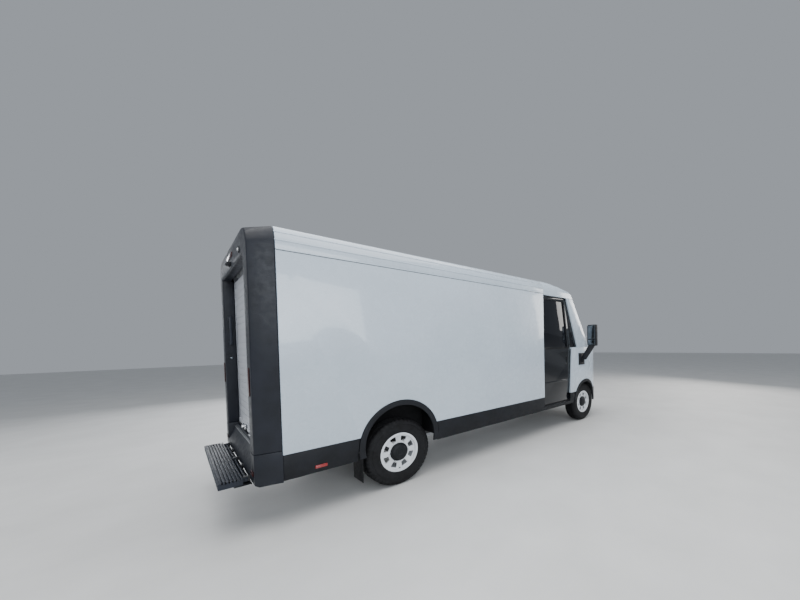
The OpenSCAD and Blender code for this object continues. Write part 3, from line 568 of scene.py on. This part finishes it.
def makePortalBits():
    y = rearY
    spot = drum("headerSpotLamp", (portalBits["spotX"], y - 0.01, portalBits["spotZ"]),
                (portalBits["spotX"], y + 0.012, portalBits["spotZ"]), 0.015, 0.003)
    mount(spot, "body", "clearLens")
    ring = drum("headerSpotBezel", (portalBits["spotX"], y - 0.01, portalBits["spotZ"]),
                (portalBits["spotX"], y + 0.006, portalBits["spotZ"]), 0.030, 0.003)
    mount(ring, "body", "trimBlack")
    stop = block("highStopLamp", (-0.16, y - 0.01, portalBits["stopZ"] - 0.02),
                 (0.20, y + 0.008, portalBits["stopZ"] + 0.02), 0.006, 3)
    mount(stop, "body", "smokedLens")
    camera = joined("reversingCamera", [
        block("cameraHousing", (-0.045, y - 0.01, 2.432), (0.045, y + 0.03, 2.470), 0.010, 3),
        drum("cameraEye", (0, y + 0.026, 2.448), (0, y + 0.036, 2.446), 0.012, 0.002)])
    mount(camera, "body", "trimBlack")
    low, high = portalBits["gripZ"]
    gripX, gripY = openX - 0.045, y - 0.055
    grip = joined("entryGrabHandle", [
        drum("gripBar", (gripX, gripY, low), (gripX, gripY, high), portalBits["gripR"], 0.006),
        drum("gripFootLow", (gripX, gripY, low + 0.02), (openX + 0.004, gripY, low + 0.02), 0.011, 0.003),
        drum("gripFootHigh", (gripX, gripY, high - 0.02), (openX + 0.004, gripY, high - 0.02), 0.011, 0.003),
        block("gripPadLow", (openX - 0.006, gripY - 0.022, low - 0.005),
              (openX + 0.004, gripY + 0.022, low + 0.045), 0.004),
        block("gripPadHigh", (openX - 0.006, gripY - 0.022, high - 0.045),
              (openX + 0.004, gripY + 0.022, high + 0.005), 0.004)])
    mount(grip, "body", "stepBlack")
    entryLight = drum("entrySwitch", (openX - 0.008, y - 0.055, 1.473),
                      (openX + 0.004, y - 0.055, 1.473), 0.013)
    mount(entryLight, "body", "mirrorFace")
    bothSides("sideMarker", lambda name: block(
        name, (-sideX + 0.004, portalBits["markerY"] - 0.05, portalBits["markerZ"] - 0.015),
        (-sideX + 0.030, portalBits["markerY"] + 0.05, portalBits["markerZ"] + 0.015), 0.006, 3),
        "body", "redLens")
    sill = block("sillTread", (-openX + 0.03, shutterHigh.y + 0.010, bumperHigh.z - 0.042),
                 (openX - 0.03, shutterHigh.y + 0.030, bumperHigh.z - 0.034), 0.003)
    mount(sill, "body", "deckAlloy")
    for i, x in enumerate((-0.36, 0.36)):
        tow = drum("towEye%d" % (i + 1), (x, y - 0.05, bumperLow.z + 0.045),
                   (x, y + 0.014, bumperLow.z + 0.045), 0.024)
        mount(tow, "body", "trimBlack")
    bothSides("mudFlap", lambda name: block(
        name, (-sideX + 0.035, rearWheelHigh.y + 0.040, 0.166),
        (-rearWheelLow.x - 0.0, rearWheelHigh.y + 0.048, 0.455), 0.004, 2),
        "body", "sealRubber")


makePortalBits()


curtain = {"slats": 22, "gap": 0.004, "thick": 0.011, "travel": 1.6}


def makeShutter():
    high = (curtainHigh.z - curtainLow.z) / curtain["slats"]
    yMid = (curtainLow.y + curtainHigh.y) / 2
    slats = []
    for i in range(curtain["slats"]):
        z = curtainLow.z + i * high
        slats.append(block("slat", (curtainLow.x + 0.002, yMid - curtain["thick"] / 2, z),
                           (curtainHigh.x - 0.002, yMid + curtain["thick"] / 2, z + high - curtain["gap"]),
                           0.0035, 2))
    back = block("slatBacking", (curtainLow.x + 0.004, yMid - 0.003, curtainLow.z),
                 (curtainHigh.x - 0.004, yMid + 0.001, curtainHigh.z), 0.001)
    sheet = joined("shutterSlatsCurtain", slats + [back])
    mount(sheet, "body", "shutterSlats", ["shutter_curtain"])
    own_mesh(sheet)
    mount(roundedCopy("shutter_rail", "shutterBottomRail", 0.004), "shutter", "shutterSlats",
          ["shutter_rail"])
    y, z = shutterHigh.y, (shutterLow.z + shutterHigh.z) / 2
    latch = joined("shutterLatch", [
        block("latchPlate", (0.17, y - 0.004, z - 0.026), (0.31, y + 0.006, z + 0.026), 0.004),
        drum("latchPivot", (0.24, y, z), (0.24, y + 0.024, z), 0.016),
        block("latchLever", (0.228, y + 0.014, z - 0.006), (0.252, y + 0.026, z + 0.022), 0.004)])
    mount(latch, "shutter", "brightSteel")
    pull = joined("shutterPullStrap", [
        block("strapAnchor", (-0.32, y - 0.004, z - 0.016), (-0.24, y + 0.008, z + 0.016), 0.004),
        drum("strapBar", (-0.32, y + 0.022, z), (-0.24, y + 0.022, z), 0.008),
        block("strapEndA", (-0.326, y, z - 0.008), (-0.314, y + 0.026, z + 0.008), 0.003),
        block("strapEndB", (-0.246, y, z - 0.008), (-0.234, y + 0.026, z + 0.008), 0.003)])
    mount(pull, "shutter", "brightSteel")
    seal = block("shutterFootSeal", (shutterLow.x + 0.004, y - 0.022, shutterLow.z - 0.006),
                 (shutterHigh.x - 0.004, y - 0.006, shutterLow.z + 0.004), 0.003)
    mount(seal, "shutter", "sealRubber")


makeShutter()
print("portal and shutter made")


# ---- skirts, arches, cab shell ----

def makeShells():
    plain = [
        ("side_skirts", "sideSkirts", 0.006, "trimBlack", "trim_black"),
        ("arch_trims", "archTrims", 0.010, "trimBlack", "trim_black"),
        ("fender_right", "fenderRight", 0.008, "whitePaint", "white_paint"),
        ("fender_left", "fenderLeft", 0.008, "whitePaint", "white_paint"),
        ("front_fascia", "frontFascia", 0.008, "portalBlack", "portal_black"),
        ("a_pillars", "windshieldPillars", 0.010, "whitePaint", "white_paint"),
        ("cowl", "cowlPanel", 0.006, "trimBlack", "trim_black"),
        ("windshield", "windshieldGlass", 0.002, "clearGlass", "glass_clear"),
        ("quarter_windows", "quarterGlass", 0.002, "darkGlass", "glass_dark"),
        ("headlamps", "headlampLenses", 0.006, "clearLens", "lamp_clear"),
        ("tail_lamps", "tailLampLenses", 0.003, "smokedLens", "lamp_red"),
        ("dashboard", "dashboardShell", 0.015, "cabPlastic", "cab_plastic"),
        ("step_brackets", "stepBrackets", 0.003, "chassisPaint", "frame_black"),
        ("mirror_bases", "mirrorBases", 0.008, "trimBlack", "trim_black"),
    ]
    for node, name, width, finish, slot in plain:
        mount(roundedCopy(node, name, width), "body", finish, [node])
    moving = [
        ("hood", "hood", "hoodPanel", 0.008, "whitePaint", "white_paint"),
        ("door_right", "door_right", "cabDoorRight", 0.006, "glossBlack", "door_black"),
        ("door_left", "door_left", "cabDoorLeft", 0.006, "glossBlack", "door_black"),
        ("door_glass_right", "door_right", "cabDoorGlassRight", 0.001, "darkGlass", "glass_dark"),
        ("door_glass_left", "door_left", "cabDoorGlassLeft", 0.001, "darkGlass", "glass_dark"),
        ("mirror_right", "mirror_right", "mirrorArmRight", 0.014, "trimBlack", "trim_black"),
        ("mirror_left", "mirror_left", "mirrorArmLeft", 0.014, "trimBlack", "trim_black"),
        ("step_tread", "step", "stepTread", 0.003, "stepBlack", "frame_black"),
        ("bulkhead_door", "bulkhead_door", "bulkheadSlidingDoor", 0.006, "liningBoard", "lining_grey"),
    ]
    for node, body, name, width, finish, slot in moving:
        mount(roundedCopy(node, name, width), body, finish, [node])


makeShells()


step = {"holes": 5, "holeR": 0.006}


def makeStepBits():
    z = stepHigh.z - 0.014
    dots = []
    for side in (-1, 1):
        for i in range(step["holes"]):
            y = stepLow.y + 0.075 + i * 0.024
            x = side * (stepHigh.x - 0.022)
            dots.append(drum("stepHole", (x, y, stepHigh.z - 0.02), (x, y, stepHigh.z + 0.0008),
                             step["holeR"], 0.0005, 16))
    # drain holes are solid near-black discs on the tread: painted shade for the holes
    mount(joined("stepDrainHoles", dots), "step", "recessShadeBlack")
    nose = block("stepNosing", (stepLow.x + 0.004, stepHigh.y - 0.012, z - 0.004),
                 (stepHigh.x - 0.004, stepHigh.y + 0.003, stepHigh.z - 0.003), 0.005, 3)
    mount(nose, "step", "stepBlack")
    tray = block("stepTray", (-openX + 0.02, rearY - 0.006, stepLow.z - 0.018),
                 (openX - 0.02, stepLow.y + 0.095, stepLow.z - 0.006), 0.004)
    mount(tray, "body", "trimBlack")


doorLook = {"handleY": 0.11, "handleZ": (1.20, 1.32), "beltZ": 1.474, "creaseZ": 0.86}


def makeDoorBits():
    outer = -doorLow.x
    for side, word, body in ((-1, "Right", "door_right"), (1, "Left", "door_left")):
        def between(a, b):
            return sorted((side * a, side * b))
        y = doorLow.y + doorLook["handleY"]
        handle = joined("doorPull" + word, [
            drum("pullBar", (side * (outer + 0.001), y, doorLook["handleZ"][0]),
                 (side * (outer + 0.001), y, doorLook["handleZ"][1]), 0.009, 0.003),
            drum("pullFootLow", (side * (outer - 0.010), y, doorLook["handleZ"][0] + 0.008),
                 (side * (outer + 0.001), y, doorLook["handleZ"][0] + 0.008), 0.007, 0.002),
            drum("pullFootHigh", (side * (outer - 0.010), y, doorLook["handleZ"][1] - 0.008),
                 (side * (outer + 0.001), y, doorLook["handleZ"][1] - 0.008), 0.007, 0.002)])
        mount(handle, body, "trimBlack")
        x0, x1 = between(outer - 0.004, outer + 0.004)
        belt = block("doorBeltSeal" + word, (x0, doorLow.y + 0.045, doorLook["beltZ"]),
                     (x1, glassHigh.y + 0.03, doorLook["beltZ"] + 0.020), 0.003)
        mount(belt, body, "sealRubber")
        crease = block("doorCrease" + word, (x0, doorLow.y + 0.055, doorLook["creaseZ"]),
                       (x1, doorHigh.y - 0.16, doorLook["creaseZ"] + 0.035), 0.010, 3)
        mount(crease, body, "glossBlack")
        x0, x1 = between(outer - 0.003, outer + 0.003)
        foot = block("doorFootSeal" + word, (x0, doorLow.y + 0.04, doorLow.z + 0.004),
                     (x1, doorHigh.y - 0.16, doorLow.z + 0.028), 0.003)
        mount(foot, body, "sealRubber")
        x0, x1 = between(sideX - 0.075, sideX - 0.036)
        tread = block("doorSillTread" + word, (x0, doorLow.y + 0.06, 0.4745),
                      (x1, wallLow.y - 0.02, 0.4775), 0.001)
        mount(tread, "body", "deckAlloy")


def makeMirrorBits():
    for side, word, body in ((-1, "Right", "mirror_right"), (1, "Left", "mirror_left")):
        x0, x1 = sorted((side * (mirrorHigh.x - 0.180), side * (mirrorHigh.x - 0.016)))
        for name, z0, z1 in (("mirrorGlassMain", 1.645, 1.912), ("mirrorGlassWide", 1.535, 1.630)):
            pane = block(name + word, (x0, mirrorFaceY - 0.002, z0), (x1, mirrorFaceY + 0.003, z1), 0.003)
            mount(pane, body, "mirrorFace")


mirrorFaceY = mirrorHigh.y - 0.14   # rear face of a mirror head


front = {"bars": 5, "barHigh": 0.012, "grilleX": 0.36, "grilleZ": (0.84, 0.965), "intakeX": 0.42,
         "intakeZ": (0.46, 0.60)}


def makeFrontBits():
    low, high = front["grilleZ"]
    # the grille recess is a near-black panel behind the bars: painted shade for the recess
    back = block("grilleRecess", (-front["grilleX"], noseY - 0.003, low),
                 (front["grilleX"], noseY + 0.05, high), 0.010, 3)
    mount(back, "body", "recessShadeBlack")
    bars = []
    for i in range(front["bars"]):
        z = low + 0.012 + i * (high - low - 0.024 - front["barHigh"]) / (front["bars"] - 1)
        bars.append(block("bar", (-front["grilleX"] + 0.012, noseY - 0.012, z),
                          (front["grilleX"] - 0.012, noseY + 0.004, z + front["barHigh"]), 0.004))
    mount(joined("grilleBars", bars), "body", "trimBlack")
    low, high = front["intakeZ"]
    # the lower intake is a near-black panel behind the fins: painted shade for the opening
    intake = block("lowerIntake", (-front["intakeX"], noseY - 0.003, low),
                   (front["intakeX"], noseY + 0.05, high), 0.014, 3)
    mount(intake, "body", "recessShadeBlack")
    fins = []
    for i in range(9):
        x = (i - 4) * front["intakeX"] / 4.6
        fins.append(block("fin", (x - 0.006, noseY - 0.010, low + 0.01),
                          (x + 0.006, noseY + 0.004, high - 0.01), 0.003))
    fins.append(block("fin", (-front["intakeX"] + 0.02, noseY - 0.010, (low + high) / 2 - 0.006),
                      (front["intakeX"] - 0.02, noseY + 0.003, (low + high) / 2 + 0.006), 0.003))
    mount(joined("intakeFins", fins), "body", "trimBlack")
    bar = block("frontReflectorBar", (-0.44, noseY - 0.006, 0.70), (0.44, noseY + 0.01, 0.712), 0.004)
    mount(bar, "body", "portalBlack")


def makeRoofBits():
    for i, x in enumerate((-0.34, 0, 0.34)):
        y = capLow.y + 0.62
        lamp = block("roofMarker%d" % (i + 1), (x - 0.05, y - 0.03, roofZ - 0.075),
                     (x + 0.05, y + 0.05, roofZ - 0.028), 0.012, 3)
        mount(lamp, "body", "amberLens")


makeStepBits()
makeDoorBits()
makeMirrorBits()
makeFrontBits()
makeRoofBits()
print("shells made")


# ---- wheels ----

wheelSpots = [
    ("rear_right", "wheel_rear_right", "RearRight", -1),
    ("rear_left", "wheel_rear_left", "RearLeft", 1),
    ("front_right", "wheel_front_right", "FrontRight", -1),
    ("front_left", "wheel_front_left", "FrontLeft", 1),
]
cap = {"radius": 0.101, "deep": 0.034}
tread = {"sides": 192, "grooves": (-0.048, -0.017, 0.017, 0.048), "deep": 0.008, "every": 4, "cut": 0.0065}


def tyreOutline(half, r):
    side = [(-half + 0.018, 0.2053), (-half + 0.018, 0.2175), (-half + 0.010, 0.2186), (-half + 0.004, 0.236),
            (-half + 0.001, 0.262), (-half, 0.286), (-half + 0.001, 0.304), (-half + 0.004, 0.307),
            (-half + 0.004, 0.311), (-half + 0.001, 0.314), (-half + 0.005, r - 0.034),
            (-half + 0.013, r - 0.016), (-half + 0.024, r - 0.0055), (-half + 0.038, r - 0.0015)]
    crown = []
    for x in tread["grooves"]:
        crown += [(x - 0.0055, r), (x - 0.0035, r - tread["deep"]),
                  (x + 0.0035, r - tread["deep"]), (x + 0.0055, r)]
    return side + crown + [(-x, radius) for x, radius in reversed(side)]


def makeTyre(node, word, centre, half, r):
    tyre = lathe("tyre" + word, centre, tyreOutline(half, r), tread["sides"])
    focus(tyre)
    bpy.ops.object.mode_set(mode="EDIT")
    bpy.ops.mesh.select_mode(type="FACE")
    bpy.ops.mesh.select_all(action="DESELECT")
    bpy.ops.object.mode_set(mode="OBJECT")
    for face in tyre.data.polygons:
        dx = abs(face.center.x - centre.x)
        dy, dz = face.center.y - centre.y, face.center.z - centre.z
        sector = int((math.atan2(dz, dy) / math.tau + 1) * tread["sides"]) % tread["every"]
        onRib = math.hypot(dy, dz) > r - 0.0030 or (dx > half - 0.032 and math.hypot(dy, dz) > r - 0.027)
        middle = dx < 0.0115
        face.select = onRib and not middle and sector == (0 if dx > 0.05 else 2)
    bpy.ops.object.mode_set(mode="EDIT")
    bpy.ops.mesh.extrude_region_shrink_fatten(TRANSFORM_OT_shrink_fatten={"value": -tread["cut"]})
    bpy.ops.mesh.select_mode(type="VERT")
    bpy.ops.object.mode_set(mode="OBJECT")
    bpy.ops.object.shade_smooth_by_angle(angle=math.radians(30))
    return tyre


def makeWheels():
    for node, body, word, side in wheelSpots:
        low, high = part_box("tyre_" + node)
        centre = (low + high) / 2
        tyreHalf = (high.x - low.x) / 2
        mount(makeTyre(node, word, centre, tyreHalf, (high.z - low.z) / 2), body, "tyreRubber",
              ["tyre_" + node])
        rimPiece = roundedCopy("rim_" + node, "wheel" + word, 0.004, 3, 40)
        mount(rimPiece, body, "wheelEnamel", ["rim_" + node])
        outer = side * (tyreHalf - 0.038)
        deep = side * cap["deep"]
        shell = lathe("hubCap" + word, centre, [
            (outer, cap["radius"]), (outer + deep * 0.35, cap["radius"]),
            (outer + deep * 0.55, cap["radius"] * 0.96), (outer + deep * 0.62, cap["radius"] * 0.88),
            (outer + deep * 0.55, cap["radius"] * 0.84), (outer + deep * 0.70, cap["radius"] * 0.80),
            (outer + deep * 0.95, cap["radius"] * 0.60), (outer + deep, cap["radius"] * 0.34),
            (outer + deep * 0.9, cap["radius"] * 0.30), (outer + deep * 0.9, cap["radius"] * 0.05)], 64, False)
        mount(shell, body, "trimBlack")
        stem = drum("valveStem" + word, (centre.x + outer - side * 0.004, centre.y, centre.z - 0.186),
                    (centre.x + outer + side * 0.022, centre.y, centre.z - 0.180), 0.005, 0.001, 16)
        mount(stem, body, "sealRubber")
        nuts = []
        for i in range(6):
            a = math.tau * i / 6
            y, z = centre.y + 0.112 * math.cos(a), centre.z + 0.112 * math.sin(a)
            nuts.append(drum("nut", (centre.x + outer - side * 0.006, y, z),
                             (centre.x + outer + side * 0.012, y, z),
                             0.009, 0.002, 6))
        mount(joined("wheelBolts" + word, nuts), body, "brightSteel")


makeWheels()
print("wheels made")

# ---- cab interior ----

padding = {"swell": 0.024, "voxel": 0.006, "pressure": 4.0, "frames": 20}


def padPiece(name, low, high, lean=0.0, pivot=(0, 0, 0)):
    piece = block(name, low, high, 0.02, 4)
    focus(piece)
    grid = piece.modifiers.new("evenGrid", "REMESH")
    grid.mode = "VOXEL"
    grid.voxel_size = padding["voxel"]
    bpy.ops.object.modifier_apply(modifier=grid.name)
    rest = [v.co.copy() for v in piece.data.vertices]
    cloth = piece.modifiers.new("padding", "CLOTH")
    cloth.settings.use_pressure = True
    cloth.settings.uniform_pressure_force = padding["pressure"]
    cloth.settings.effector_weights.gravity = 0
    cloth.settings.quality = 4
    cloth.point_cache.frame_start = 1
    cloth.point_cache.frame_end = padding["frames"]
    for f in range(1, padding["frames"] + 1):
        bpy.context.scene.frame_set(f)
    swollen = piece.evaluated_get(bpy.context.evaluated_depsgraph_get())
    moved = [v.co.copy() for v in swollen.data.vertices]
    piece.modifiers.remove(cloth)
    bpy.context.scene.frame_set(1)
    for v, start, end in zip(piece.data.vertices, rest, moved):
        shift = end - start
        v.co = start + shift * min(1.0, padding["swell"] / max(shift.length, 1e-6))
    focus(piece)
    smooth = piece.modifiers.new("smoothPadding", "SUBSURF")
    smooth.levels = smooth.render_levels = 1
    bpy.ops.object.modifier_apply(modifier=smooth.name)
    focus(piece)
    bpy.ops.object.shade_smooth()
    if lean:
        bpy.ops.object.mode_set(mode="EDIT")
        bpy.ops.mesh.select_all(action="SELECT")
        bpy.ops.transform.rotate(value=lean, orient_axis="X", center_override=pivot)
        bpy.ops.object.mode_set(mode="OBJECT")
    return piece


def makeSeat():
    x0, x1 = seatLow.x + 0.022, seatHigh.x - 0.022
    y0, y1 = seatLow.y + 0.022, seatLow.y + 0.47
    z0 = seatLow.z
    pivot = (0, seatLow.y + 0.44, z0 + 0.1035)
    lean = math.radians(12)
    cushion = padPiece("seatCushion", (x0, y0, z0 + 0.036), (x1, y1, z0 + 0.118))
    mount(cushion, "driver_seat", "seatCloth", ["driver_seat"])
    back = padPiece("seatBack", (x0 + 0.012, pivot[1] - 0.020, pivot[2] + 0.02),
                    (x1 - 0.012, pivot[1] + 0.045, pivot[2] + 0.60), lean, pivot)
    mount(back, "driver_seat", "seatCloth")
    head = padPiece("headRestraint", (x0 + 0.12, pivot[1] - 0.012, pivot[2] + 0.655),
                    (x1 - 0.12, pivot[1] + 0.040, pivot[2] + 0.80), lean, pivot)
    mount(head, "driver_seat", "seatCloth")
    pan = joined("seatPan", [
        block("panPlate", (x0 - 0.004, y0, z0), (x1 + 0.004, y1 + 0.02, z0 + 0.030), 0.012, 3),
        block("panSideA", (x0 - 0.016, y0 + 0.06, z0), (x0 + 0.002, y1, z0 + 0.07), 0.008, 3),
        block("panSideB", (x1 - 0.002, y0 + 0.06, z0), (x1 + 0.016, y1, z0 + 0.07), 0.008, 3)])
    mount(pan, "driver_seat", "cabPlastic")
    tilted = []
    for x in ((x0 + x1) / 2 - 0.055, (x0 + x1) / 2 + 0.055):
        tilted.append(drum("restPost", (x, pivot[1] + 0.012, pivot[2] + 0.56),
                           (x, pivot[1] + 0.012, pivot[2] + 0.70), 0.007))
    shell = block("seatBackShell", (x0 + 0.01, pivot[1] + 0.044, pivot[2] - 0.04),
                  (x1 - 0.01, pivot[1] + 0.072, pivot[2] + 0.585), 0.012, 3)
    posts = joined("headRestraintPosts", tilted)
    for piece in (posts, shell):
        focus(piece)
        bpy.ops.object.mode_set(mode="EDIT")
        bpy.ops.mesh.select_all(action="SELECT")
        bpy.ops.transform.rotate(value=lean, orient_axis="X", center_override=pivot)
        bpy.ops.object.mode_set(mode="OBJECT")
    mount(posts, "driver_seat", "brightSteel")
    mount(shell, "driver_seat", "cabPlastic")


def makeControls():
    plain = [
        ("steering_wheel", "steering_wheel", "steeringWheel", 0.004, "cabPlastic", "cab_plastic"),
        ("brake_pedal", "brake_pedal", "brakePedal", 0.003, "sealRubber", "trim_black"),
        ("accelerator_pedal", "accelerator_pedal", "acceleratorPedal", 0.003, "sealRubber", "trim_black"),
        ("wiper_right", "wiper_right", "wiperRight", 0.002, "sealRubber", "trim_black"),
        ("wiper_left", "wiper_left", "wiperLeft", 0.002, "sealRubber", "trim_black"),
    ]
    for node, body, name, width, finish, slot in plain:
        mount(roundedCopy(node, name, width), body, finish, [node])
    x = (seatLow.x + seatHigh.x) / 2
    y = dashLow.y + 0.40
    screen = block("dashScreen", (x - 0.16, y - 0.17, dashHigh.z - 0.006),
                   (x + 0.16, y - 0.15, dashHigh.z + 0.12), 0.006, 3)
    mount(screen, "body", "glossBlack")
    # vents are solid near-black blocks: painted shade for the vent openings
    vents = [block("vent", (cx - 0.08, dashLow.y + 0.404, 1.235),
                   (cx + 0.08, dashLow.y + 0.430, 1.285), 0.006)
             for cx in (-0.55, -0.15, 0.12)]
    mount(joined("dashVents", vents), "body", "recessShadeBlack")


makeSeat()
makeControls()
print("cab interior made")

carried = {
    "chassis_rails": "chassisPaint", "battery_pack": "batteryAlloy", "cargo_floor": "deckAlloy",
    "cab_floor": "cabPlastic", "shutter_tracks": "trackMetal", "rear_axle": "chassisPaint",
    "front_subframe": "chassisPaint", "shutter_barrel": "shutterSlats",
    "knuckle_right": "chassisPaint", "knuckle_left": "chassisPaint",
}
for node, finish in carried.items():
    dress(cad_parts[node], finish)
